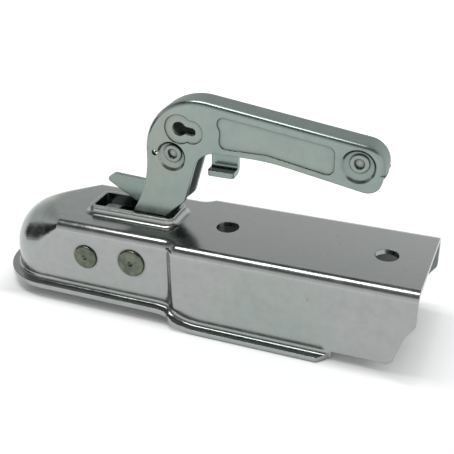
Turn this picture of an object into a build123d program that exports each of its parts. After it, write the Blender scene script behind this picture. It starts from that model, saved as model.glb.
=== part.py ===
from build123d import *
import os
from math import acos, asin, atan2, copysign, cos, degrees, hypot, radians, sin, tan

os.makedirs("parts", exist_ok=True)

# Trailer coupling head, in millimetres.
# The origin is the centre of the tow ball, +X runs back along the drawbar and +Z is up.
# Left and right are seen facing the towing car, so left is the -Y side.

# Ball, drawbar tube and sheet
ball_d = 50.0
ball_gap = 1.0
drawbar_w = 60.0
drawbar_gap = 0.1
sheet = 3.0
fold_in_r = 2.5
shoulder_len = 13.0
shoulder_parts = 12
crown_split = 5.0
joggle_x = 80.2
joggle_in_r = 3.2
rear_x = 220.6
bolt_hole_d = 13.0
bolt_x = 107.5
bolt_pitch = 90.0

# Outward flange, which dips behind the joggle, and the scalloped rear edge
flange_w = 5.5
flange_front_z = -14.5
flange_drop = 6.0
flange_root_r = 2.5
dip_start_x = 74.0
dip_len = 28.0
flange_end_x = 178.5
flange_slant = 6.8
wall_low_rise = 5.0
scallop_lip_z = 10.2
scallop_waist = (5.3, 2.4)
scallop_heel = 10.6
scallop_radii = (5.5, 12.0, 3.0)

# Pins, and the room that turning pieces have on them
pin_fit = 0.05
run_gap = 0.3
jaw_pin_d = 10.0
jaw_pin_head_d = 14.4
jaw_pin_back = 6.0
jaw_pin_drop = 18.8
pivot_d = 12.0
pivot_head_d = 16.4
pivot_back = 29.4
pivot_drop = 16.9
pin_head_h = 1.7
pin_head_round = 0.8
pin_dimple_d = 3.2
pin_dimple_depth = 0.9
pin_dimple_slope = 40.0

# Raised rim round the lever opening, measured from the handle pivot
opening_front = -33.4
opening_rear = 15.1
opening_half = 8.7
opening_corner_r = 2.0
rim_t = 2.5
rim_h = 4.5
rim_edge_r = 0.7
rim_root_r = 3.5

# Handle: lengths from its pivot, heights over its front bend, drops below its top line
handle_half = 8.0
cheek_t = 2.5
cheek_bend_r = 3.0
web_bend_r = 32.0
web_front = 2.0
web_bend_h = 60.3
web_low_rise = 1.6
web_notch = 1.2
grip_slope = 8.0
grip_end = 134.0
grip_top_r = 12.0
grip_low_r = 8.0
grip_low_drop = 25.3
web_rear_drop = 13.6
web_rear_notch = 0.8
neck_arc_drop = 2.4
neck_arc_r = 64.0
neck_arc_turn = 30.0
neck_foot = 3.0
throat_x = 34.2
throat_rise = 3.9
throat_r = 14.0
grip_break_x = 72.6
grip_break_drop = 22.9
grip_break_r = 120.0
kink = (24.8, 32.8)
kink_r = 4.0
heel = (13.6, 22.7)
foot_r = 12.5
foot_corner_r = 2.5
foot_front = (-4.2, 22.7)
foot_rear = (10.2, 21.4)

# Pressed details on the handle's cheeks
emboss_depth = 0.8
dish_depth = 1.4
dish_slope = 45.0
catch_dish_d = 17.2
catch_dish_shift = (-0.8, -1.6)
end_dish_d = 18.4
end_dish_shift = (-0.4, -1.5)
key_hole_x = 22.9
key_hole_rise = 15.0
key_hole_d = 7.8
key_slot_x = 30.2
key_slot_rise = 14.1
key_slot_d = 4.4
key_dish_rim = 4.4
leg_hole_x = 7.9
leg_hole_rise = -0.5
leg_hole_d = 3.2
panel_left = 45.4
panel_waist_x = 46.4
panel_waist_rise = 16.7
panel_top_left = 42.0
panel_right = 108.4
panel_low_gap = 3.0
panel_top_gap = 5.5
panel_corner_r = 4.0

# Cam roller on the handle, and the jaw that it locks
roller_d = 10.0
roller_drop = 14.0
cam_pin_d = 5.0
cam_lobe_r = 7.5
cam_head_d = 8.0
cam_head_h = 0.8
bush_wall = 3.0
jaw_half = 15.0
jaw_gap = 0.3
jaw_boss_r = 7.0
jaw_rib_half = 5.0
jaw_rib_back = 9.0
jaw_rib_len = 19.0
jaw_low_gap = 1.0
jaw_lip_back = 2.5
jaw_lip_front = 12.0
jaw_lip_r = 1.5

# Rivets through the handle
catch_pin_x = 18.5
catch_pin_rise = 0.2
catch_pin_d = 7.0
end_pin_back = 13.0
end_pin_drop = 10.4
end_pin_d = 7.0
rivet_head_d = 10.4
rivet_head_h = 1.3
rivet_dimple_d = 5.2
rivet_dimple_depth = 1.6
rivet_mouth = 0.4
spacer_wall = 2.5

# Safety catch: a plate between the cheeks with a beak in front and a trigger tab below
catch_t = 3.0
beak_tip = (-27.6, 35.9)
beak_brow = (-22.7, 39.6)
beak_top = (-2.0, 38.6)
beak_heel = (-3.0, 21.0)
beak_r = 2.0
catch_boss_r = 7.0
tab_front = 39.0
tab_rear = 54.1
tab_low_rise = -9.0
arm_top_rise = 8.7
arm_low_rise = 5.2
lip_bend_r = 3.0
lip_reach = 8.5
lip_corner_r = 2.0

# Springs
handle_wire_d = 2.4
jaw_wire_d = 1.8
catch_wire_d = 1.0
catch_hook_r = 1.2
coil_pitch_ratio = 1.25
spring_leg = 6.0

# Sizes that follow from those above
ball_r = ball_d / 2
nose_r = ball_r + ball_gap + sheet
top_z = nose_r
front_half = nose_r
corner_cut = 1 - cos(radians(45))
rear_half = drawbar_w / 2 + drawbar_gap + sheet
inner_half = front_half - sheet
fold_r = fold_in_r + sheet
joggle_r = joggle_in_r + sheet
joggle_out = rear_half - front_half
joggle_turn = copysign(degrees(acos(1 - abs(joggle_out) / (2 * joggle_r))), joggle_out)
flange_rear_z = flange_front_z - flange_drop
wall_low_z = flange_rear_z + wall_low_rise
dip_r = (dip_len**2 + flange_drop**2) / (4 * flange_drop)
dip_turn = degrees(2 * atan2(flange_drop, dip_len))
margin = 20.0
jaw_pin_x = ball_r + jaw_pin_back
jaw_pin_z = top_z - jaw_pin_drop
pivot_x = jaw_pin_x + pivot_back
pivot_z = top_z - pivot_drop
cheek_in = handle_half - cheek_t
catch_half = catch_t / 2
jaw_low_z = flange_front_z + jaw_low_gap
roller_x = jaw_pin_x + jaw_rib_back + jaw_gap + roller_d / 2
roller = (roller_x - pivot_x, -roller_drop)
bush_r = pivot_d / 2 + bush_wall
web_centre = (web_front + web_bend_r, web_bend_h)
top_start = (
    web_centre[0] + web_bend_r * sin(radians(grip_slope)),
    web_centre[1] + web_bend_r * cos(radians(grip_slope)),
)
top_fall = tan(radians(grip_slope))
grip_corner_h = top_start[1] - (grip_end - top_start[0]) * top_fall
grip_low_h = grip_corner_h - grip_low_drop
web_rear_h = grip_corner_h - web_rear_drop
web_low_h = web_bend_h + web_low_rise
neck_arc_h = web_bend_h - neck_arc_drop
throat = (throat_x, web_bend_h + throat_rise)
grip_break = (grip_break_x, top_start[1] - (grip_break_x - top_start[0]) * top_fall - grip_break_drop)
key_hole = (key_hole_x, web_bend_h + key_hole_rise)
key_slot = (key_slot_x, web_bend_h + key_slot_rise)
leg_hole = (leg_hole_x, web_bend_h + leg_hole_rise)
panel_waist = (panel_waist_x, web_bend_h + panel_waist_rise)
catch_pin = (catch_pin_x, web_bend_h + catch_pin_rise)
end_pin_x = grip_end - end_pin_back
end_pin = (end_pin_x, grip_corner_h + end_pin_back * top_fall - end_pin_drop)
tab_low_h = web_bend_h + tab_low_rise
arm_top_h = web_bend_h + arm_top_rise
arm_low_h = web_bend_h + arm_low_rise

# Side plane through the handle pivot: x runs back, y runs up, and the normal points left
lever_plane = Plane(origin=(pivot_x, 0, pivot_z), x_dir=(1, 0, 0), z_dir=(0, -1, 0))
jaw_plane = Plane(origin=(jaw_pin_x, 0, jaw_pin_z), x_dir=(1, 0, 0), z_dir=(0, -1, 0))


def lever_point(point):
    """Side plane through a point that is measured from the handle pivot."""
    return Plane(
        origin=(pivot_x + point[0], 0, pivot_z + point[1]), x_dir=(1, 0, 0), z_dir=(0, -1, 0)
    )


def channel_plan(inset, back_x):
    """Plan outline of the channel behind the dome, drawn in by inset."""
    half = front_half - inset
    bend_shift = copysign(inset, joggle_out)
    with BuildSketch() as plan:
        with BuildLine():
            front = Line((shoulder_len, 0), (shoulder_len, half))
            run = Line(front @ 1, (joggle_x, half))
            first = JernArc(run @ 1, (1, 0), joggle_r + bend_shift, joggle_turn)
            second = JernArc(first @ 1, first % 1, joggle_r - bend_shift, -joggle_turn)
            tail = Line(second @ 1, (back_x, (second @ 1).Y))
            Line(tail @ 1, (back_x, 0))
            mirror(about=Plane.XZ)
        make_face()
    return plan.sketch


def shoulder_run(inset):
    """Straight line from the dome to the fold's front end, as two points of x and height."""
    dome_r = front_half - inset
    fold_mid = dome_r - (fold_r - inset) * corner_cut
    fold_reach = hypot(fold_mid, fold_mid)
    turn = atan2(fold_reach, shoulder_len) + acos(dome_r / hypot(shoulder_len, fold_reach))
    touch_mid = dome_r * sin(turn) * fold_mid / fold_reach
    return (dome_r * cos(turn), touch_mid), (shoulder_len, fold_mid)


def shoulder_section(inset, low_z, step):
    """Cross section between the round dome, at step 0, and the folded channel, at step 1."""
    touch, fold = shoulder_run(inset)
    place = touch[0] + (fold[0] - touch[0]) * step
    half = ((front_half - inset) ** 2 - min(place, 0) ** 2) ** 0.5
    corner_mid = touch[1] + (fold[1] - touch[1]) * step
    corner_r = half if step == 0 else (half - corner_mid) / corner_cut
    crown_angle = crown_split if step == 0 else 0.0
    with BuildSketch(Plane.YZ.offset(place)) as section:
        with BuildLine():
            Line((-half, low_z), (half, low_z))
            Line((half, low_z), (half, half - corner_r))
            right = CenterArc((half - corner_r, half - corner_r), corner_r, 0, 90 - crown_angle)
            left = CenterArc(
                (corner_r - half, half - corner_r), corner_r, 90 + crown_angle, 90 - crown_angle
            )
            if step == 0:
                RadiusArc(left @ 0, right @ 1, corner_r)
            else:
                Line(left @ 0, right @ 1)
            Line((-half, half - corner_r), (-half, low_z))
        make_face()
    return section.sketch


def pressed_form(inset, low_z, back_x):
    """Solid of the pressing's form, drawn in by inset: dome, shoulder and joggled channel."""
    dome_r = front_half - inset
    touch, _ = shoulder_run(inset)
    plan = channel_plan(inset, back_x)
    steps = [count / shoulder_parts for count in range(shoulder_parts + 1)]
    sections = [shoulder_section(inset, low_z, step) for step in steps]
    with BuildPart() as dome:
        with BuildSketch(Plane.YZ):
            with BuildLine():
                crown = CenterArc((0, 0), dome_r, 0, 90)
                Line(crown @ 1, (0, low_z))
                Line((0, low_z), (dome_r, low_z))
                Line((dome_r, low_z), crown @ 0)
            make_face()
        revolve(axis=Axis.Z, revolution_arc=180)
        split(bisect_by=Plane.YZ.offset(touch[0]), keep=Keep.BOTTOM)
    with BuildPart() as form:
        with BuildSketch(Plane.XY.offset(low_z)):
            add(plan)
        extrude(amount=dome_r - low_z)
        folds = form.faces().sort_by(Axis.Z)[-1].edges().filter_by(Axis.Y, reverse=True)
        fillet(folds, fold_r - inset)
        loft(sections)
        add(dome.part)
    return form.part


def flange_plan():
    """Plan outline of the flange, filled in across the channel."""
    half = front_half + flange_w
    with BuildSketch() as plan:
        with BuildLine():
            CenterArc((0, 0), half, 90, 90)
            run = Line((0, half), (joggle_x, half))
            first = JernArc(run @ 1, (1, 0), joggle_r, joggle_turn)
            second = JernArc(first @ 1, first % 1, joggle_r, -joggle_turn)
            tail = Line(second @ 1, (flange_end_x - flange_slant, (second @ 1).Y))
            slant = Line(tail @ 1, (flange_end_x, rear_half - sheet / 2))
            Line(slant @ 1, (flange_end_x, 0))
            mirror(about=Plane.XZ)
        make_face()
    return plan.sketch


def dip_line(rise):
    """Side view of the flange's underside, raised by rise along its normal."""
    with BuildLine() as line:
        nose_x = -nose_r - flange_w - margin
        front = Line((nose_x, flange_front_z + rise), (dip_start_x, flange_front_z + rise))
        down = JernArc(front @ 1, (1, 0), dip_r + rise, -dip_turn)
        level = JernArc(down @ 1, down % 1, dip_r - rise, dip_turn)
        Line(level @ 1, (flange_end_x, flange_rear_z + rise))
    return line.line


def on_wall_foot(edge, inset):
    """True for the edges where the flange meets the wall, drawn in by inset."""
    middle = edge.center()
    reach = hypot(min(middle.X, 0), middle.Y) + inset
    farthest = max(front_half, rear_half) if middle.X > joggle_x else front_half
    along = min(front_half, rear_half) - pin_fit < reach < farthest + pin_fit
    low = middle.Z < flange_front_z + sheet + pin_fit
    return along and low and middle.X < flange_end_x - flange_slant


def headed_pin(plane, shank_r, head_r, head_h, half_len):
    """Riveted pin across the coupling, with a low rounded head at both ends."""
    with BuildPart() as pin:
        with BuildSketch(plane):
            Circle(shank_r)
        extrude(amount=half_len, both=True)
        for side in (1, -1):
            with BuildSketch(plane.offset(side * half_len)):
                Circle(head_r)
            extrude(amount=side * head_h)
        rims = pin.edges().filter_by(GeomType.CIRCLE).group_by(Axis.Y)
        fillet(rims[0] + rims[-1], head_h * pin_head_round)
        for side in (1, -1):
            with BuildSketch(plane.offset(side * (half_len + head_h))):
                Circle(min(pin_dimple_d, shank_r) / 2)
            extrude(amount=-side * min(pin_dimple_depth, head_h), taper=pin_dimple_slope, mode=Mode.SUBTRACT)
    return pin.part


def ring_rivet(plane, shank_r, seat_half):
    """Tubular rivet with a rolled ring head at both ends, seated seat_half from the middle."""
    with BuildPart() as rivet:
        with BuildSketch(plane):
            Circle(shank_r)
        extrude(amount=seat_half, both=True)
        for side in (1, -1):
            with BuildSketch(plane.offset(side * seat_half)):
                Circle(rivet_head_d / 2)
            extrude(amount=side * rivet_head_h)
        rims = rivet.edges().filter_by(GeomType.CIRCLE).group_by(Axis.Y)
        fillet(rims[0] + rims[-1], rivet_head_h * pin_head_round)
        for side in (1, -1):
            with BuildSketch(plane.offset(side * (seat_half + rivet_head_h))):
                Circle(rivet_dimple_d / 2)
            extrude(amount=-side * rivet_dimple_depth, mode=Mode.SUBTRACT)
        mouths = rivet.edges().filter_by(GeomType.CIRCLE).group_by(Axis.Y)
        chamfer(mouths[0] + mouths[-1], rivet_mouth)
    return rivet.part


def tube(plane, inner_r, outer_r, near, far):
    """Tube along the plane's normal, from near to far."""
    with BuildPart() as body:
        with BuildSketch(plane.offset(near)):
            Circle(outer_r)
            Circle(inner_r, mode=Mode.SUBTRACT)
        extrude(amount=far - near)
    return body.part


def wound_coil(seat, mean_r, length, wire_d, leg):
    """Coil of wire wound along the seat plane's normal, with a straight leg at both ends."""
    helix = seat.location * Helix(wire_d * coil_pitch_ratio, length, mean_r, mode=Mode.PRIVATE)
    with BuildPart() as coil:
        with BuildLine():
            add(helix)
        with BuildSketch(Plane(origin=helix @ 0, z_dir=helix % 0)):
            Circle(wire_d / 2)
        sweep(is_frenet=True)
        for end in coil.faces().filter_by(GeomType.PLANE):
            extrude(to_extrude=end, amount=leg)
    return coil.part


def bend_sweep(bend_r):
    """Angle of the handle's front bend, from the top line down to the web's lower end."""
    return 90 + grip_slope - degrees(asin((web_low_h - web_bend_h) / bend_r))


def on_fold(edge):
    """True for the edges where the handle's web meets a cheek."""
    middle = edge.center()
    on_side = abs(abs(middle.Y) - handle_half) < pin_fit
    on_top = middle.Z > pivot_z + key_hole[1]
    at_end = middle.X > pivot_x + grip_end - pin_fit
    return on_side and (on_top or at_end or edge.geom_type == GeomType.CIRCLE)


# Housing, pressed from one sheet
outer_form = pressed_form(0, flange_rear_z, rear_x)
cavity = pressed_form(sheet, flange_rear_z - margin, rear_x + margin)
flange_outline = flange_plan()
flange_under = dip_line(0)
flange_over = dip_line(sheet)

with BuildPart() as flange:
    with BuildSketch(Plane.XY.offset(flange_rear_z - margin)):
        add(flange_outline)
    extrude(amount=top_z + margin)
    with BuildSketch(Plane.XZ):
        with BuildLine():
            add(flange_under)
            add(flange_over)
            Line(flange_under @ 0, flange_over @ 0)
            Line(flange_under @ 1, flange_over @ 1)
        make_face()
    extrude(amount=rear_half + margin, both=True, mode=Mode.INTERSECT)

with BuildPart() as housing:
    add(outer_form)
    with BuildSketch(Plane.XZ):
        with BuildLine():
            add(flange_under)
            front = flange_under @ 0
            back = flange_under @ 1
            Line(back, (flange_end_x, wall_low_z))
            edge = FilletPolyline(
                (flange_end_x, wall_low_z),
                (rear_x - scallop_heel, wall_low_z),
                (rear_x - scallop_waist[0], scallop_waist[1]),
                (rear_x, scallop_lip_z),
                (rear_x, top_z + margin),
                radius=scallop_radii,
            )
            Line(edge @ 1, (front.X, top_z + margin))
            Line((front.X, top_z + margin), front)
        make_face()
    extrude(amount=rear_half + margin, both=True, mode=Mode.INTERSECT)
    add(flange.part)
    fillet(housing.edges().filter_by(lambda edge: on_wall_foot(edge, 0)), flange_root_r)
    add(cavity, mode=Mode.SUBTRACT)
    fillet(housing.edges().filter_by(lambda edge: on_wall_foot(edge, sheet)), flange_root_r + sheet)
    opening_mid = pivot_x + (opening_front + opening_rear) / 2
    opening_len = opening_rear - opening_front
    rim_half = opening_len / 2 + rim_t
    with BuildSketch(Plane.XY.offset(top_z - sheet / 2)):
        with Locations((opening_mid, 0)):
            RectangleRounded(2 * rim_half, 2 * (opening_half + rim_t), opening_corner_r + rim_t)
    extrude(amount=sheet / 2 + rim_h)
    rim_top = housing.faces().sort_by(Axis.Z)[-1].edges()
    fillet(rim_top, rim_edge_r)
    level = housing.edges().filter_by_position(Axis.Z, top_z, top_z)
    between = level.filter_by_position(Axis.Y, -opening_half - rim_t, opening_half + rim_t)
    rim_root = between.filter_by_position(Axis.X, opening_mid - rim_half, opening_mid + rim_half)
    fillet(rim_root, rim_root_r)
    with BuildSketch(Plane.XY.offset(top_z - margin / 2)):
        with Locations((opening_mid, 0)):
            RectangleRounded(opening_len, 2 * opening_half, opening_corner_r)
    extrude(amount=margin, mode=Mode.SUBTRACT)
    with BuildSketch(Plane.XY.offset(top_z - 2 * sheet)):
        with Locations((bolt_x, 0), (bolt_x + bolt_pitch, 0)):
            Circle(bolt_hole_d / 2)
    extrude(amount=3 * sheet, mode=Mode.SUBTRACT)
    with BuildSketch(jaw_plane):
        Circle(jaw_pin_d / 2 + pin_fit)
    extrude(amount=front_half + margin, both=True, mode=Mode.SUBTRACT)
    with BuildSketch(lever_plane):
        Circle(pivot_d / 2 + pin_fit)
    extrude(amount=front_half + margin, both=True, mode=Mode.SUBTRACT)
housing.part.label = "housing"
export_step(housing.part, "parts/housing.step")

# Pins riveted through the side walls
jaw_pivot_pin = headed_pin(jaw_plane, jaw_pin_d / 2, jaw_pin_head_d / 2, pin_head_h, front_half)
jaw_pivot_pin.label = "jaw_pivot_pin"
export_step(jaw_pivot_pin, "parts/jaw_pivot_pin.step")

handle_pivot_pin = headed_pin(lever_plane, pivot_d / 2, pivot_head_d / 2, pin_head_h, front_half)
handle_pivot_pin.label = "handle_pivot_pin"
export_step(handle_pivot_pin, "parts/handle_pivot_pin.step")

# Spacer tubes and torsion springs on both sides of the handle and the jaw
pivot_spacer_r = pivot_d / 2 + spacer_wall
jaw_spacer_r = jaw_pin_d / 2 + spacer_wall
handle_coil_r = pivot_spacer_r + run_gap + handle_wire_d / 2
jaw_coil_r = jaw_spacer_r + run_gap + jaw_wire_d / 2
handle_coil_start = handle_half + 2 * run_gap + handle_wire_d / 2
jaw_coil_start = jaw_half + 2 * run_gap + jaw_wire_d / 2
for name, side in (("left", 1), ("right", -1)):
    pivot_spacer = tube(
        lever_plane,
        pivot_d / 2 + pin_fit,
        pivot_spacer_r,
        side * (handle_half + run_gap),
        side * inner_half,
    )
    pivot_spacer.label = f"pivot_spacer_{name}"
    export_step(pivot_spacer, f"parts/pivot_spacer_{name}.step")
    jaw_spacer = tube(
        jaw_plane, jaw_pin_d / 2 + pin_fit, jaw_spacer_r, side * (jaw_half + run_gap), side * inner_half
    )
    jaw_spacer.label = f"jaw_spacer_{name}"
    export_step(jaw_spacer, f"parts/jaw_spacer_{name}.step")
    handle_seat = Plane(
        origin=(pivot_x, -side * handle_coil_start, pivot_z), x_dir=(0, 0, -1), z_dir=(0, -side, 0)
    )
    handle_spring = wound_coil(
        handle_seat,
        handle_coil_r,
        inner_half - run_gap - handle_wire_d / 2 - handle_coil_start,
        handle_wire_d,
        spring_leg,
    )
    handle_spring.label = f"handle_spring_{name}"
    export_step(handle_spring, f"parts/handle_spring_{name}.step")

jaw_seat = Plane(origin=(jaw_pin_x, -jaw_coil_start, jaw_pin_z), x_dir=(0, 0, -1), z_dir=(0, -1, 0))
jaw_spring = wound_coil(
    jaw_seat,
    jaw_coil_r,
    inner_half - run_gap - jaw_wire_d / 2 - jaw_coil_start,
    jaw_wire_d,
    spring_leg,
)
jaw_spring.label = "jaw_spring"
export_step(jaw_spring, "parts/jaw_spring.step")

# Outline of the handle's cheeks: grip, bend and neck, then the foot with its cam lobe
with BuildSketch() as cheek:
    with BuildLine():
        bend = CenterArc(web_centre, web_bend_r, 90 - grip_slope, bend_sweep(web_bend_r))
        notch = Line(bend @ 1, bend @ 1 + Vector(web_notch, 0))
        neck_top = Line(notch @ 1, ((notch @ 1).X, neck_arc_h))
        neck = JernArc(neck_top @ 1, (0, -1), neck_arc_r, -neck_arc_turn)
        foot_side = Line(neck @ 1, neck @ 1 + (neck % 1) * neck_foot)
        Line(foot_side @ 1, heel)
        under = FilletPolyline(
            heel,
            kink,
            throat,
            grip_break,
            (grip_end - web_rear_notch, grip_low_h),
            (grip_end - web_rear_notch, web_rear_h),
            radius=(kink_r, throat_r, grip_break_r, grip_low_r),
        )
        step = Line(under @ 1, (grip_end, web_rear_h))
        FilletPolyline(step @ 1, (grip_end, grip_corner_h), bend @ 0, radius=grip_top_r)
    make_face()

with BuildSketch() as folded:
    with BuildLine():
        front_bend = CenterArc(web_centre, web_bend_r, 90 - grip_slope, bend_sweep(web_bend_r))
        parting = Polyline(
            front_bend @ 1, (catch_pin[0], web_low_h), (grip_break[0], end_pin[1]), (grip_end, web_rear_h)
        )
        FilletPolyline(parting @ 1, (grip_end, grip_corner_h), front_bend @ 0, radius=grip_top_r)
    make_face()

with BuildSketch() as foot:
    Circle(foot_r)
    with Locations(roller):
        Circle(cam_lobe_r)
    with Locations(foot_front, foot_rear):
        Circle(foot_corner_r)
    make_hull()

# Space between the cheeks, under the web
with BuildSketch() as hollow:
    with BuildLine():
        inner_r = web_bend_r - cheek_t
        inner_bend = CenterArc(web_centre, inner_r, 90 - grip_slope, bend_sweep(inner_r))
        inner_end_x = grip_end - cheek_t
        inner_fall = (inner_end_x - (inner_bend @ 0).X) * top_fall
        inner_corner = (inner_end_x, (inner_bend @ 0).Y - inner_fall)
        inner_top = FilletPolyline(
            inner_bend @ 0, inner_corner, (inner_end_x, web_rear_h), radius=grip_top_r - cheek_t
        )
        Polyline(
            inner_top @ 1,
            (grip_end + margin, web_rear_h),
            (grip_end + margin, -foot_r - 2 * margin),
            (opening_front - margin, -foot_r - 2 * margin),
            (opening_front - margin, web_low_h),
            inner_bend @ 1,
        )
    make_face()

# Keyhole, its dish and the panel on the grip
with BuildSketch() as keyhole:
    with Locations(key_hole, key_slot):
        Circle(key_slot_d / 2)
    make_hull()
    with Locations(key_hole):
        Circle(key_hole_d / 2)

grip_fall = (grip_break[1] - grip_low_h) / (grip_end - web_rear_notch - grip_break[0])
panel_left_h = top_start[1] - (panel_top_left - top_start[0]) * top_fall - panel_top_gap
panel_right_h = top_start[1] - (panel_right - top_start[0]) * top_fall - panel_top_gap
panel_low_h = grip_break[1] + panel_low_gap - grip_fall * (panel_right - grip_break[0])
with BuildSketch() as relief:
    with BuildLine():
        Polyline(
            (panel_left, throat[1] + panel_low_gap),
            (grip_break[0], grip_break[1] + panel_low_gap),
            (panel_right, panel_low_h),
            (panel_right, panel_right_h),
            (panel_top_left, panel_left_h),
            panel_waist,
            close=True,
        )
    make_face()
    fillet(relief.vertices(), panel_corner_r)
    with Locations(key_hole):
        Circle(key_hole_d / 2 + key_dish_rim)
    with Locations(key_slot):
        Circle(key_slot_d / 2 + key_dish_rim)

# Handle, a U section with its web along the front bend, the top and the rear corner
with BuildPart() as handle:
    with BuildSketch(lever_plane):
        add(folded.sketch)
    extrude(amount=handle_half, both=True)
    fillet(handle.edges().filter_by(on_fold), cheek_bend_r)
    with BuildSketch(lever_plane):
        add(cheek.sketch)
        add(foot.sketch)
        add(folded.sketch, mode=Mode.SUBTRACT)
    extrude(amount=handle_half, both=True)
    with BuildSketch(lever_plane):
        add(hollow.sketch)
    extrude(amount=cheek_in, both=True, mode=Mode.SUBTRACT)
    for side in (1, -1):
        with BuildSketch(lever_plane.offset(side * handle_half)):
            add(relief.sketch)
        extrude(amount=-side * emboss_depth, mode=Mode.SUBTRACT)
        with BuildSketch(lever_plane.offset(side * handle_half)):
            with Locations((catch_pin[0] + catch_dish_shift[0], catch_pin[1] + catch_dish_shift[1])):
                Circle(catch_dish_d / 2)
            with Locations((end_pin[0] + end_dish_shift[0], end_pin[1] + end_dish_shift[1])):
                Circle(end_dish_d / 2)
        extrude(amount=-side * dish_depth, taper=dish_slope, mode=Mode.SUBTRACT)
    with BuildSketch(lever_plane):
        add(keyhole.sketch)
        Circle(pivot_d / 2 + pin_fit)
        with Locations(roller):
            Circle(cam_pin_d / 2 + pin_fit)
        with Locations(catch_pin):
            Circle(catch_pin_d / 2 + pin_fit)
        with Locations(end_pin):
            Circle(end_pin_d / 2 + pin_fit)
        with Locations(leg_hole):
            Circle(leg_hole_d / 2)
    extrude(amount=handle_half + margin, both=True, mode=Mode.SUBTRACT)
handle.part.label = "handle"
export_step(handle.part, "parts/handle.step")

# Bush, roller and rivets that ride on the handle
handle_bush = tube(lever_plane, pivot_d / 2 + pin_fit, bush_r, -cheek_in, cheek_in)
handle_bush.label = "handle_bush"
export_step(handle_bush, "parts/handle_bush.step")

roller_half = cheek_in - run_gap
cam_roller = tube(
    lever_point(roller), cam_pin_d / 2 + pin_fit, roller_d / 2, -roller_half, roller_half
)
cam_roller.label = "cam_roller"
export_step(cam_roller, "parts/cam_roller.step")

cam_pin = headed_pin(lever_point(roller), cam_pin_d / 2, cam_head_d / 2, cam_head_h, handle_half)
cam_pin.label = "cam_pin"
export_step(cam_pin, "parts/cam_pin.step")

rivet_seat = handle_half - dish_depth
catch_rivet = ring_rivet(lever_point(catch_pin), catch_pin_d / 2, rivet_seat)
catch_rivet.label = "catch_rivet"
export_step(catch_rivet, "parts/catch_rivet.step")

handle_end_rivet = ring_rivet(lever_point(end_pin), end_pin_d / 2, rivet_seat)
handle_end_rivet.label = "handle_end_rivet"
export_step(handle_end_rivet, "parts/handle_end_rivet.step")

end_spacer_r = end_pin_d / 2 + spacer_wall
handle_end_spacer = tube(
    lever_point(end_pin), end_pin_d / 2 + pin_fit, end_spacer_r, -cheek_in, cheek_in
)
handle_end_spacer.label = "handle_end_spacer"
export_step(handle_end_spacer, "parts/handle_end_spacer.step")

catch_spacer_r = catch_pin_d / 2 + spacer_wall
for name, side in (("left", 1), ("right", -1)):
    catch_spacer = tube(
        lever_point(catch_pin),
        catch_pin_d / 2 + pin_fit,
        catch_spacer_r,
        side * (catch_half + run_gap),
        side * cheek_in,
    )
    catch_spacer.label = f"catch_spacer_{name}"
    export_step(catch_spacer, f"parts/catch_spacer_{name}.step")

# Catch spring, whose outer leg runs to the small hole in the left cheek and hooks into it
catch_coil_r = catch_spacer_r + run_gap + catch_wire_d / 2
catch_coil_start = catch_half + 2 * run_gap + catch_wire_d / 2
catch_coil_end = cheek_in - run_gap - catch_wire_d / 2
catch_coil_len = catch_coil_end - catch_coil_start
hole_x = leg_hole[0] - catch_pin[0]
hole_y = leg_hole[1] - catch_pin[1]
hole_reach = hypot(hole_x, hole_y)
catch_leg = (hole_reach**2 - catch_coil_r**2) ** 0.5 - catch_hook_r
coil_end_angle = atan2(hole_y, hole_x) - acos(catch_coil_r / hole_reach)
coil_start_angle = coil_end_angle - radians(360 * catch_coil_len / (catch_wire_d * coil_pitch_ratio))
catch_seat = Plane(
    origin=lever_point(catch_pin).offset(catch_coil_start).origin,
    x_dir=(cos(coil_start_angle), 0, sin(coil_start_angle)),
    z_dir=(0, -1, 0),
)
with BuildPart() as catch_spring:
    add(wound_coil(catch_seat, catch_coil_r, catch_coil_len, catch_wire_d, catch_leg))
    tips = catch_spring.faces().filter_by(GeomType.PLANE)
    tip = tips.sort_by_distance(lever_point(leg_hole).offset(catch_coil_end).origin)[0]
    hook_axis = Axis(
        tip.center() - Vector(0, catch_hook_r, 0), (cos(coil_end_angle), 0, sin(coil_end_angle))
    )
    revolve(tip, axis=hook_axis, revolution_arc=90)
    hook = catch_spring.faces().filter_by(GeomType.PLANE).sort_by(Axis.Y)[0]
    extrude(to_extrude=hook, amount=handle_half - run_gap - catch_coil_end - catch_hook_r)
catch_spring.part.label = "catch_spring"
export_step(catch_spring.part, "parts/catch_spring.step")

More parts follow.
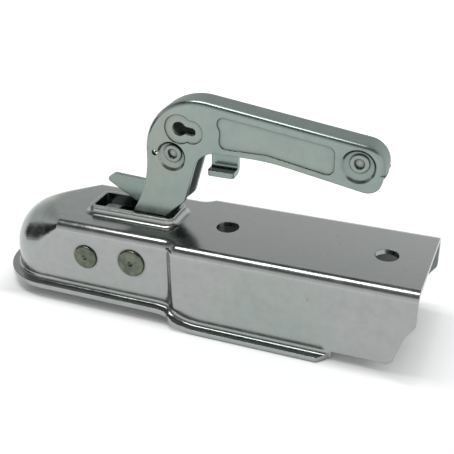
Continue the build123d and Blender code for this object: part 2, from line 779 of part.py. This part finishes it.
# Safety catch, with its trigger lip bent out to the left
tab_bend_h = tab_low_h + catch_half + lip_bend_r
lip_plane = Plane(
    origin=(pivot_x + tab_front, 0, pivot_z), x_dir=(0, -1, 0), z_dir=(-1, 0, 0)
)
with BuildPart() as safety_catch:
    with BuildSketch(lever_plane) as catch_side:
        with BuildLine():
            Polyline(
                beak_tip,
                beak_brow,
                beak_top,
                (catch_pin[0] - catch_boss_r, catch_pin[1]),
                catch_pin,
                (catch_pin[0], catch_pin[1] - catch_boss_r),
                beak_heel,
                close=True,
            )
        make_face()
        fillet(catch_side.vertices().sort_by(Axis.X)[:2], beak_r)
        with BuildLine():
            Polyline(
                (catch_pin[0], catch_pin[1] + catch_boss_r),
                (tab_front, arm_top_h),
                (tab_rear, arm_top_h),
                (tab_rear, tab_bend_h),
                (tab_front, tab_bend_h),
                (tab_front, arm_low_h),
                (catch_pin[0], catch_pin[1] - catch_boss_r),
                close=True,
            )
        make_face()
        with Locations(catch_pin):
            Circle(catch_boss_r)
            Circle(catch_pin_d / 2 + pin_fit, mode=Mode.SUBTRACT)
    extrude(amount=catch_half, both=True)
    with BuildSketch(lip_plane):
        with BuildLine():
            drop = Line((0, arm_low_h), (0, tab_bend_h))
            turn = JernArc(drop @ 1, (0, -1), lip_bend_r, 90)
            Line(turn @ 1, (lip_reach, (turn @ 1).Y))
        trace(line_width=catch_t)
    extrude(amount=tab_front - tab_rear)
    fillet(safety_catch.edges().filter_by(Axis.Z).sort_by(Axis.Y)[:2], lip_corner_r)
safety_catch.part.label = "safety_catch"
export_step(safety_catch.part, "parts/safety_catch.step")

# Ball jaw, a spherical pocket behind and under the ball, with a rib against the roller
with BuildSketch() as jaw_side:
    with Locations((jaw_pin_x, jaw_pin_z)):
        Circle(jaw_boss_r)
    with Locations(
        (ball_r - jaw_lip_front, jaw_low_z + jaw_lip_r), (ball_r + jaw_lip_back, jaw_low_z + jaw_lip_r)
    ):
        Circle(jaw_lip_r)
    make_hull()

with BuildPart() as ball_jaw:
    with BuildSketch(Plane.XZ):
        add(jaw_side.sketch)
    extrude(amount=jaw_half, both=True)
    with BuildSketch(jaw_plane):
        with BuildLine():
            Polyline(
                (-jaw_boss_r, 0),
                (0, jaw_boss_r),
                (jaw_rib_back, 0),
                (jaw_rib_back, -jaw_rib_len),
                (0, jaw_low_z + 2 * jaw_lip_r - jaw_pin_z),
                close=True,
            )
        make_face()
    extrude(amount=jaw_rib_half, both=True)
    Sphere(ball_r + jaw_gap, mode=Mode.SUBTRACT)
    with BuildSketch(jaw_plane):
        Circle(jaw_pin_d / 2 + pin_fit)
    extrude(amount=jaw_half + margin, both=True, mode=Mode.SUBTRACT)
ball_jaw.part.label = "ball_jaw"
export_step(ball_jaw.part, "parts/ball_jaw.step")
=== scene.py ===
"""Looks of a zinc-plated trailer coupling head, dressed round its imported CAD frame."""

import logging
from dataclasses import dataclass, field
from enum import Enum
from typing import Any

import bpy
from mathutils import Matrix, Vector


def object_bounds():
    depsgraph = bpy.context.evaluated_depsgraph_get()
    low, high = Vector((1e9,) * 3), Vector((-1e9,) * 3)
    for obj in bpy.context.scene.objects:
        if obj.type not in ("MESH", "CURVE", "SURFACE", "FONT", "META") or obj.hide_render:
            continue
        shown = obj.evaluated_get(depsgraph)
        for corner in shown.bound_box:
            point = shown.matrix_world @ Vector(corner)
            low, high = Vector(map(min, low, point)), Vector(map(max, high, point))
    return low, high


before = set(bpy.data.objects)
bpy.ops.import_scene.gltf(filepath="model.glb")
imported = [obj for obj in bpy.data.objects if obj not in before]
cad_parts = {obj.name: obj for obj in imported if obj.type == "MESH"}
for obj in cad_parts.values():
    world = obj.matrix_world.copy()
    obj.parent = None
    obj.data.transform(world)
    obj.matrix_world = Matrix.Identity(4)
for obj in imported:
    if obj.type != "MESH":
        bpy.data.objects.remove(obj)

LOG = logging.getLogger("coupling_head")
CAD_BOX = [list(corner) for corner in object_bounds()]

Colour = tuple[float, float, float, float]

MM_PER_M = 1000.0
# Noise seldom leaves this band, so it is spread over the whole of what it drives
NOISE_LOW, NOISE_HIGH = 0.3, 0.7
COOL_STOP, MAIN_STOP, WARM_STOP = 0.36, 0.5, 0.64
# Open share of the sky at which the painted crevice shade is darkest, and at which it ends
CREVICE_DEEP, CREVICE_END = 0.45, 0.95
EDGE_SAMPLES = 8


class Grain(Enum):
    """How a metal surface was worked, as the stretch of its grain along X, Y and Z."""

    ROLLED = (0.12, 1.0, 1.0)
    DRAWN = (1.0, 0.08, 1.0)
    EVEN = (1.0, 1.0, 1.0)


def linear(code: str) -> Colour:
    """Turn an sRGB hex colour into linear light.

    Args:
        code: Colour as "#rrggbb".

    Returns:
        Linear red, green and blue, with an alpha of 1.
    """
    channels = [int(code[i : i + 2], 16) / 255 for i in (1, 3, 5)]
    red, green, blue = (
        c / 12.92 if c <= 0.04045 else ((c + 0.055) / 1.055) ** 2.4 for c in channels
    )
    return (red, green, blue, 1.0)


def grey(value: float) -> Colour:
    """Give a linear grey of the value."""
    return (value, value, value, 1.0)


def per_metre(size_mm: float) -> float:
    """Give the texture scale at which one feature is size_mm wide."""
    return MM_PER_M / size_mm


def metres(size_mm: float) -> float:
    """Turn millimetres into metres."""
    return size_mm / MM_PER_M


def add_node(
    tree: bpy.types.NodeTree,
    kind: str,
    settings: dict[str | int, Any] | None = None,
    links: dict[str | int, Any] | None = None,
    stops: tuple[tuple[float, Colour], ...] = (),
) -> Any:
    """Add a node with its settings, and link other sockets into it.

    Args:
        tree: Tree that gets the node.
        kind: Blender's type name of the node.
        settings: Properties, or input sockets by name or number, and their values.
        links: Input sockets by name or number, and the output socket that feeds each.
        stops: Position and colour of each stop, where the node is a Color Ramp.

    Returns:
        The new node.
    """
    node = tree.nodes.new(kind)
    for key, value in (settings or {}).items():
        if isinstance(key, str) and hasattr(node, key):
            setattr(node, key, value)
        else:
            node.inputs[key].default_value = value
    for key, socket in (links or {}).items():
        tree.links.new(socket, node.inputs[key])
    for count, (place, colour) in enumerate(stops):
        elements = node.color_ramp.elements
        element = elements[count] if count < len(elements) else elements.new(place)
        element.position = place
        element.color = colour
    return node


def new_tree(name: str) -> tuple[bpy.types.Material, bpy.types.NodeTree]:
    """Make a material with an empty node tree.

    Args:
        name: Name of the material.

    Returns:
        The material and its tree.
    """
    material = bpy.data.materials.new(name)
    material.use_nodes = True
    material.node_tree.nodes.clear()
    return material, material.node_tree


@dataclass(frozen=True)
class PlatedFinish:
    """Zinc plating on steel, with its clear passivated film.

    The film gives a grey-green tone with faint cool and warm clouds. Under it the steel keeps
    the grain of the mill or the die, soft waves from pressing, and a few pits. Shade in the
    crevices is painted into the colour, and the plating is dull in the hollow between the sides
    of a folded piece.
    The real grain is about 0.2 mm wide. It is drawn coarser, because that wouldn't show.
    """

    name: str
    main_hex: str
    cool_hex: str
    warm_hex: str
    rough_low: float
    rough_high: float
    cloud_mm: float = 70.0
    mottle_mm: float = 5.0
    mottle_share: float = 0.06
    grain_mm: float = 0.9
    grain: Grain = Grain.EVEN
    grain_depth_mm: float = 0.01
    wave_mm: float = 18.0
    wave_depth_mm: float = 0.02
    pit_mm: float = 13.0
    pit_d_mm: float = 1.0
    pit_shade: float = 0.45
    edge_mm: float = 0.5
    # Reach of the painted shade in crevices, and its darkest level
    crevice_mm: float = 2.0
    crevice_painted_shade: float = 0.35
    hollow_half_mm: float = 0.0
    hollow_top_mm: float = 500.0
    hollow_front_mm: float = -500.0
    hollow_rough: float = 0.55

    def tone(self, tree: bpy.types.NodeTree, place: Any, mottle: Any) -> Any:
        """Build the colour: clouds, mottle, pits and painted shade in the crevices.

        Args:
            tree: Tree that gets the nodes.
            place: Socket with the object's coordinates.
            mottle: Socket with the mottle's value.

        Returns:
            The socket with the colour.
        """
        cloud = add_node(
            tree,
            "ShaderNodeTexNoise",
            {"Scale": per_metre(self.cloud_mm), "Detail": 2.0},
            {"Vector": place},
        )
        tint = add_node(
            tree,
            "ShaderNodeValToRGB",
            links={"Fac": cloud.outputs["Fac"]},
            stops=(
                (COOL_STOP, linear(self.cool_hex)),
                (MAIN_STOP, linear(self.main_hex)),
                (WARM_STOP, linear(self.warm_hex)),
            ),
        )
        shade = add_node(
            tree,
            "ShaderNodeMapRange",
            {
                "From Min": NOISE_LOW,
                "From Max": NOISE_HIGH,
                "To Min": 1 - self.mottle_share,
                "To Max": 1 + self.mottle_share,
            },
            {"Value": mottle},
        )
        pits = add_node(
            tree, "ShaderNodeTexVoronoi", {"Scale": per_metre(self.pit_mm)}, {"Vector": place}
        )
        pit_reach = self.pit_d_mm / self.pit_mm / 2
        pit = add_node(
            tree,
            "ShaderNodeMapRange",
            {
                "From Min": pit_reach / 2,
                "From Max": pit_reach,
                "To Min": self.pit_shade,
                "To Max": 1.0,
            },
            {"Value": pits.outputs["Distance"]},
        )
        # Ambient occlusion paints shade into the colour of crevices, creases and corners
        crevice = add_node(
            tree,
            "ShaderNodeAmbientOcclusion",
            {"samples": EDGE_SAMPLES, "Distance": metres(self.crevice_mm)},
        )
        painted_shade = add_node(
            tree,
            "ShaderNodeMapRange",
            {
                "From Min": CREVICE_DEEP,
                "From Max": CREVICE_END,
                "To Min": self.crevice_painted_shade,
                "To Max": 1.0,
            },
            {"Value": crevice.outputs["AO"]},
        )
        colour = tint.outputs["Color"]
        for factor in (shade, pit, painted_shade):
            mixed = add_node(
                tree,
                "ShaderNodeVectorMath",
                {"operation": "SCALE"},
                {"Vector": colour, "Scale": factor.outputs["Result"]},
            )
            colour = mixed.outputs["Vector"]
        return colour

    def roughness(self, tree: bpy.types.NodeTree, place: Any, mottle: Any) -> Any:
        """Build the roughness: smooth outside, dull in the hollow.

        Args:
            tree: Tree that gets the nodes.
            place: Socket with the object's coordinates.
            mottle: Socket with the mottle's value.

        Returns:
            The socket with the roughness.
        """
        outside = add_node(
            tree,
            "ShaderNodeMapRange",
            {
                "From Min": NOISE_LOW,
                "From Max": NOISE_HIGH,
                "To Min": self.rough_low,
                "To Max": self.rough_high,
            },
            {"Value": mottle},
        )
        if not self.hollow_half_mm:
            return outside.outputs["Result"]
        axes = add_node(tree, "ShaderNodeSeparateXYZ", links={"Vector": place})
        aside = add_node(tree, "ShaderNodeMath", {"operation": "ABSOLUTE"}, {0: axes.outputs["Y"]})
        tests = (
            ("LESS_THAN", self.hollow_half_mm, aside.outputs["Value"]),
            ("LESS_THAN", self.hollow_top_mm, axes.outputs["Z"]),
            ("GREATER_THAN", self.hollow_front_mm, axes.outputs["X"]),
        )
        inside: Any = None
        for test, limit_mm, socket in tests:
            within = add_node(
                tree, "ShaderNodeMath", {"operation": test, 1: metres(limit_mm)}, {0: socket}
            ).outputs["Value"]
            if inside is not None:
                within = add_node(
                    tree, "ShaderNodeMath", {"operation": "MULTIPLY"}, {0: inside, 1: within}
                ).outputs["Value"]
            inside = within
        dulled = add_node(
            tree,
            "ShaderNodeMix",
            {"B": self.hollow_rough},
            {"Factor": inside, "A": outside.outputs["Result"]},
        )
        return dulled.outputs["Result"]

    def relief(self, tree: bpy.types.NodeTree, place: Any) -> Any:
        """Build the normal: worn edges, waves of the press and grain of the mill.

        Args:
            tree: Tree that gets the nodes.
            place: Socket with the object's coordinates.

        Returns:
            The socket with the normal.
        """
        wave = add_node(
            tree,
            "ShaderNodeTexNoise",
            {"Scale": per_metre(self.wave_mm), "Detail": 1.0},
            {"Vector": place},
        )
        along = add_node(
            tree, "ShaderNodeMapping", {"Scale": Vector(self.grain.value)}, {"Vector": place}
        )
        grain = add_node(
            tree,
            "ShaderNodeTexNoise",
            {"Scale": per_metre(self.grain_mm), "Detail": 3.0, "Roughness": 0.6},
            {"Vector": along.outputs["Vector"]},
        )
        worn = add_node(
            tree, "ShaderNodeBevel", {"samples": EDGE_SAMPLES, "Radius": metres(self.edge_mm)}
        )
        normal = worn.outputs["Normal"]
        for height, depth_mm in ((wave, self.wave_depth_mm), (grain, self.grain_depth_mm)):
            bump = add_node(
                tree,
                "ShaderNodeBump",
                {"Strength": 1.0, "Distance": metres(depth_mm)},
                {"Height": height.outputs["Fac"], "Normal": normal},
            )
            normal = bump.outputs["Normal"]
        return normal

    def material(self) -> bpy.types.Material:
        """Make the node material.

        Returns:
            The new material.
        """
        made, tree = new_tree(self.name)
        place = add_node(tree, "ShaderNodeTexCoord").outputs["Object"]
        mottle = add_node(
            tree,
            "ShaderNodeTexNoise",
            {"Scale": per_metre(self.mottle_mm), "Detail": 5.0, "Roughness": 0.6},
            {"Vector": place},
        ).outputs["Fac"]
        shader = add_node(
            tree,
            "ShaderNodeBsdfPrincipled",
            {"Metallic": 1.0},
            {
                "Base Color": self.tone(tree, place, mottle),
                "Roughness": self.roughness(tree, place, mottle),
                "Normal": self.relief(tree, place),
            },
        )
        add_node(tree, "ShaderNodeOutputMaterial", links={"Surface": shader.outputs["BSDF"]})
        return made


# Rolled sheet keeps a fine lengthwise grain, so the walls mirror the floor softly
SHEET_FINISH = PlatedFinish(
    name="zinc_plated_pressed_sheet",
    main_hex="#9fa4a1",
    cool_hex="#98a29e",
    warm_hex="#a2a4a3",
    rough_low=0.15,
    rough_high=0.25,
    grain=Grain.ROLLED,
    hollow_half_mm=30.3,
    hollow_top_mm=25.9,
    hollow_front_mm=93.0,
)
# Thinner pressing: greener film, more waves, softly pressed edges and a dull hollow
HANDLE_FINISH = PlatedFinish(
    name="zinc_plated_handle_pressing",
    main_hex="#8f9993",
    cool_hex="#8a9692",
    warm_hex="#92988f",
    rough_low=0.15,
    rough_high=0.27,
    wave_depth_mm=0.03,
    edge_mm=0.9,
    # Wider, darker painted shade in the crevices round the dishes and rivets
    crevice_mm=3.0,
    crevice_painted_shade=0.2,
    hollow_half_mm=6.5,
)
# Flat blanked plate: smooth and bright on both sides, with soft edges
CATCH_FINISH = PlatedFinish(
    name="zinc_plated_catch_plate",
    main_hex="#87948f",
    cool_hex="#83928d",
    warm_hex="#89928a",
    rough_low=0.15,
    rough_high=0.27,
    edge_mm=0.7,
)
# Hammered heads are dull and dark, with small dents all over
HEAD_FINISH = PlatedFinish(
    name="dull_zinc_on_hammered_heads",
    main_hex="#656b60",
    cool_hex="#595f55",
    warm_hex="#73766a",
    rough_low=0.18,
    rough_high=0.36,
    cloud_mm=6.0,
    mottle_mm=2.0,
    mottle_share=0.16,
    wave_mm=3.0,
    wave_depth_mm=0.16,
    pit_mm=3.0,
    pit_d_mm=0.5,
)
# Rolled rivet rings come smooth from the tool, so they show bright and dark rings
RING_FINISH = PlatedFinish(
    name="bright_zinc_on_rolled_rivets",
    main_hex="#8b948f",
    cool_hex="#858e89",
    warm_hex="#8f9790",
    rough_low=0.16,
    rough_high=0.26,
    cloud_mm=9.0,
    pit_mm=5.0,
    pit_d_mm=0.4,
    # Strong painted shade in the crevices round the rings
    crevice_painted_shade=0.15,
)
# Drawn wire is dark, with die lines round the coil
WIRE_FINISH = PlatedFinish(
    name="drawn_spring_wire",
    main_hex="#6f7274",
    cool_hex="#65696c",
    warm_hex="#7a7976",
    rough_low=0.25,
    rough_high=0.4,
    grain_mm=0.5,
    grain=Grain.DRAWN,
)
# Forged steel keeps a coarse skin under its plating. Its tone is also darkened as painted
# shade, since the jaw sits in the dark inside of the opening.
JAW_SHADE_DARKENED_FINISH = PlatedFinish(
    name="zinc_plated_forged_jaw_darkened_as_shade",
    main_hex="#646967",
    cool_hex="#5d6262",
    warm_hex="#6b6c68",
    rough_low=0.3,
    rough_high=0.45,
    grain_mm=1.6,
    grain_depth_mm=0.03,
)


class SubAssembly:
    """CAD nodes that ride on one body, each with the finish that it has."""

    body: str
    nodes: dict[str, PlatedFinish]

    def build(self) -> None:
        """Report the group's CAD nodes, which carry its whole shape."""
        for name in self.nodes:
            size = [round(length * MM_PER_M, 1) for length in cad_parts[name].dimensions]
            LOG.info("%s rides on %s, %s mm", name, self.body, size)

    def dress(self) -> None:
        """Give every node of the group its material."""
        for name, finish in self.nodes.items():
            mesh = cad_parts[name].data
            mesh.materials.clear()
            mesh.materials.append(bpy.data.materials.get(finish.name) or finish.material())
            LOG.info("%s is dressed in %s", name, finish.name)


@dataclass
class HousingAssembly(SubAssembly):
    """Pressed housing with its riveted pins, spacer tubes and torsion springs."""

    body: str = "body"
    nodes: dict[str, PlatedFinish] = field(
        default_factory=lambda: {
            "housing": SHEET_FINISH,
            "jaw_pivot_pin": HEAD_FINISH,
            "handle_pivot_pin": HEAD_FINISH,
            "pivot_spacer_left": RING_FINISH,
            "pivot_spacer_right": RING_FINISH,
            "jaw_spacer_left": RING_FINISH,
            "jaw_spacer_right": RING_FINISH,
            "handle_spring_left": WIRE_FINISH,
            "handle_spring_right": WIRE_FINISH,
            "jaw_spring": WIRE_FINISH,
        }
    )


@dataclass
class LeverAssembly(SubAssembly):
    """Folded handle with its rivets, cam roller and catch spring."""

    body: str = "lever"
    nodes: dict[str, PlatedFinish] = field(
        default_factory=lambda: {
            "handle": HANDLE_FINISH,
            "handle_bush": RING_FINISH,
            "cam_roller": RING_FINISH,
            "cam_pin": HEAD_FINISH,
            "catch_rivet": RING_FINISH,
            "handle_end_rivet": RING_FINISH,
            "handle_end_spacer": RING_FINISH,
            "catch_spacer_left": RING_FINISH,
            "catch_spacer_right": RING_FINISH,
            "catch_spring": WIRE_FINISH,
        }
    )


@dataclass
class CatchAssembly(SubAssembly):
    """Safety catch with its beak and trigger."""

    body: str = "catch"
    nodes: dict[str, PlatedFinish] = field(default_factory=lambda: {"safety_catch": CATCH_FINISH})


@dataclass
class JawAssembly(SubAssembly):
    """Jaw that closes under the ball."""

    body: str = "jaw"
    nodes: dict[str, PlatedFinish] = field(default_factory=lambda: {"ball_jaw": JAW_SHADE_DARKENED_FINISH})


@dataclass
class Studio:
    """Pale floor, tent of soft light, one lamp, a dark card and the camera, in metres.

    The floor's bands count in half widths of the part, from its middle. The tent's bands are
    the height or the X of a direction, and its stops give the height and the grey there.
    """

    floor_half: float = 6.0
    floor_gap: float = 0.0002
    floor_hex: str = "#f4f5f5"
    floor_glow: float = 0.4
    painted_shadow_edge: tuple[float, float] = (0.8, 1.05)
    far_glow: float = 0.3
    far_band: tuple[float, float] = (3.0, 14.0)
    tent_stops: tuple[tuple[float, float], ...] = (
        (0.0, 1.0),
        (0.22, 1.0),
        (0.5, 0.76),
        (0.62, 0.3),
        (0.7, 0.12),
        (1.0, 0.25),
    )
    dim_band: tuple[float, float] = (-0.95, 0.2)
    dim_levels: tuple[float, float] = (0.5, 1.35)
    dim_heights: tuple[float, float] = (0.14, 0.36)
    lamp_height: float = 1.0
    lamp_forward: float = 0.25
    lamp_size: tuple[float, float] = (0.62, 0.34)
    lamp_watts: float = 4.4
    card_middle: tuple[float, float, float] = (-0.47, -0.15, 0.06)
    card_size: tuple[float, float] = (0.36, 0.2)
    card_hex: str = "#1c1e1c"
    eye: tuple[float, float, float] = (0.2647, -0.3855, 0.2544)
    forward: tuple[float, float, float] = (-0.3330, 0.8140, -0.4759)
    right: tuple[float, float, float] = (0.9284, 0.3713, -0.0144)
    lens_mm: float = 66.92
    sensor_mm: float = 36.0
    near_clip: float = 0.01

    def lay_floor(self) -> None:
        """Lay the floor under the lowest point of the part, with no glow beneath the part.

        The lamp's own shadow stays there, and the patch without glow is also a painted shadow.
        """
        low, high = (Vector(corner) for corner in CAD_BOX)
        middle = (low + high) / 2
        half = (high - low) / 2
        bpy.ops.object.select_all(action="DESELECT")
        bpy.ops.mesh.primitive_plane_add(
            size=2 * self.floor_half, location=(middle.x, middle.y, low.z - self.floor_gap)
        )
        floor = bpy.context.object
        floor.name = "studio_floor"
        paper, tree = new_tree("pale_floor_paper")
        place = add_node(tree, "ShaderNodeTexCoord").outputs["Object"]
        shared = add_node(
            tree, "ShaderNodeMapping", {"Scale": (1 / half.x, 1 / half.y, 0.0)}, {"Vector": place}
        )
        aside = add_node(
            tree, "ShaderNodeVectorMath", {"operation": "ABSOLUTE"}, {0: shared.outputs["Vector"]}
        )
        axes = add_node(tree, "ShaderNodeSeparateXYZ", links={"Vector": aside.outputs["Vector"]})
        reach = add_node(
            tree,
            "ShaderNodeMath",
            {"operation": "MAXIMUM"},
            {0: axes.outputs["X"], 1: axes.outputs["Y"]},
        )
        # Glow held back from the part's footprint paints shadow there; far out it evens the lamp's
        # falloff
        near, far = (
            add_node(
                tree,
                "ShaderNodeMapRange",
                {"From Min": band[0], "From Max": band[1], "To Min": 0.0, "To Max": glow},
                {"Value": reach.outputs["Value"]},
            )
            for band, glow in ((self.painted_shadow_edge, self.floor_glow), (self.far_band, self.far_glow))
        )
        strength = add_node(
            tree,
            "ShaderNodeMath",
            {"operation": "ADD"},
            {0: near.outputs["Result"], 1: far.outputs["Result"]},
        ).outputs["Value"]
        rays = add_node(tree, "ShaderNodeLightPath")
        seen = rays.outputs["Is Camera Ray"]
        for ray in ("Is Glossy Ray", "Is Transmission Ray"):
            either = add_node(
                tree, "ShaderNodeMath", {"operation": "MAXIMUM"}, {0: seen, 1: rays.outputs[ray]}
            )
            seen = either.outputs["Value"]
        shown = add_node(tree, "ShaderNodeMath", {"operation": "MULTIPLY"}, {0: strength, 1: seen})
        shader = add_node(
            tree,
            "ShaderNodeBsdfPrincipled",
            {
                "Base Color": linear(self.floor_hex),
                "Roughness": 0.9,
                "Specular IOR Level": 0.1,
                "Emission Color": grey(1.0),
            },
            {"Emission Strength": shown.outputs["Value"]},
        )
        add_node(tree, "ShaderNodeOutputMaterial", links={"Surface": shader.outputs["BSDF"]})
        floor.data.materials.append(paper)

    def hang_tent(self) -> None:
        """Light the world as a tent: white low down, dark high up and dimmer towards the front."""
        world = bpy.data.worlds.new("studio_tent")
        bpy.context.scene.world = world
        world.use_nodes = True
        tree = world.node_tree
        tree.nodes.clear()
        aim = add_node(tree, "ShaderNodeTexCoord").outputs["Generated"]
        axes = add_node(tree, "ShaderNodeSeparateXYZ", links={"Vector": aim})
        tent = add_node(
            tree,
            "ShaderNodeValToRGB",
            links={"Fac": axes.outputs["Z"]},
            stops=tuple((height, grey(value)) for height, value in self.tent_stops),
        )
        dimmer = add_node(
            tree,
            "ShaderNodeMapRange",
            {
                "From Min": self.dim_band[0],
                "From Max": self.dim_band[1],
                "To Min": self.dim_levels[0],
                "To Max": self.dim_levels[1],
            },
            {"Value": axes.outputs["X"]},
        )
        height = add_node(
            tree,
            "ShaderNodeMapRange",
            {"From Min": self.dim_heights[0], "From Max": self.dim_heights[1]},
            {"Value": axes.outputs["Z"]},
        )
        level = add_node(
            tree,
            "ShaderNodeMix",
            {"A": 1.0},
            {"Factor": height.outputs["Result"], "B": dimmer.outputs["Result"]},
        )
        light = add_node(
            tree,
            "ShaderNodeBackground",
            links={"Color": tent.outputs["Color"], "Strength": level.outputs["Result"]},
        )
        add_node(tree, "ShaderNodeOutputWorld", links={"Surface": light.outputs["Background"]})

    def hang_lamp(self) -> None:
        """Hang one long soft lamp over the part, lengthwise, for the bright lines on its folds."""
        middle = sum((Vector(corner) for corner in CAD_BOX), Vector()) / 2
        place = middle + Vector((-self.lamp_forward, 0.0, self.lamp_height))
        bpy.ops.object.light_add(type="AREA", location=place)
        lamp = bpy.context.object
        lamp.name = "overhead_lamp"
        lamp.data.shape = "RECTANGLE"
        lamp.data.size, lamp.data.size_y = self.lamp_size
        lamp.data.energy = self.lamp_watts

    def stand_card(self) -> None:
        """Stand a dark card before the dome, which only the bright metal sees."""
        bpy.ops.object.select_all(action="DESELECT")
        facing = -Vector(self.card_middle)
        bpy.ops.mesh.primitive_plane_add(
            size=1.0,
            location=self.card_middle,
            rotation=facing.to_track_quat("Z", "Y").to_euler(),
        )
        card = bpy.context.object
        card.name = "dark_card"
        card.scale = (*self.card_size, 1.0)
        card.visible_camera = False
        card.visible_diffuse = False
        card.visible_shadow = False
        felt, tree = new_tree("dark_card_felt")
        shader = add_node(
            tree,
            "ShaderNodeBsdfPrincipled",
            {"Base Color": linear(self.card_hex), "Roughness": 1.0},
        )
        add_node(tree, "ShaderNodeOutputMaterial", links={"Surface": shader.outputs["BSDF"]})
        card.data.materials.append(felt)

    def set_camera(self) -> None:
        """Put the camera where the photograph was taken from."""
        eye = Vector(self.eye)
        back = -Vector(self.forward).normalized()
        right = Vector(self.right)
        right = (right - back * right.dot(back)).normalized()
        turn = Matrix((right, back.cross(right), back)).transposed()
        bpy.ops.object.camera_add(location=eye)
        camera = bpy.context.object
        camera.name = "photo_camera"
        camera.matrix_world = Matrix.Translation(eye) @ turn.to_4x4()
        camera.data.lens = self.lens_mm
        camera.data.sensor_width = self.sensor_mm
        camera.data.clip_start = self.near_clip
        bpy.context.scene.camera = camera

    def build(self) -> None:
        """Set up the floor, the light and the camera."""
        self.lay_floor()
        self.hang_tent()
        self.hang_lamp()
        self.stand_card()
        self.set_camera()
        bpy.context.scene.view_settings.view_transform = "Standard"
        LOG.info("studio is set up")


def main() -> None:
    """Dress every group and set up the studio."""
    logging.basicConfig(level=logging.INFO)
    for group in (HousingAssembly(), LeverAssembly(), CatchAssembly(), JawAssembly()):
        group.build()
        group.dress()
    Studio().build()


if __name__ == "__main__":
    main()
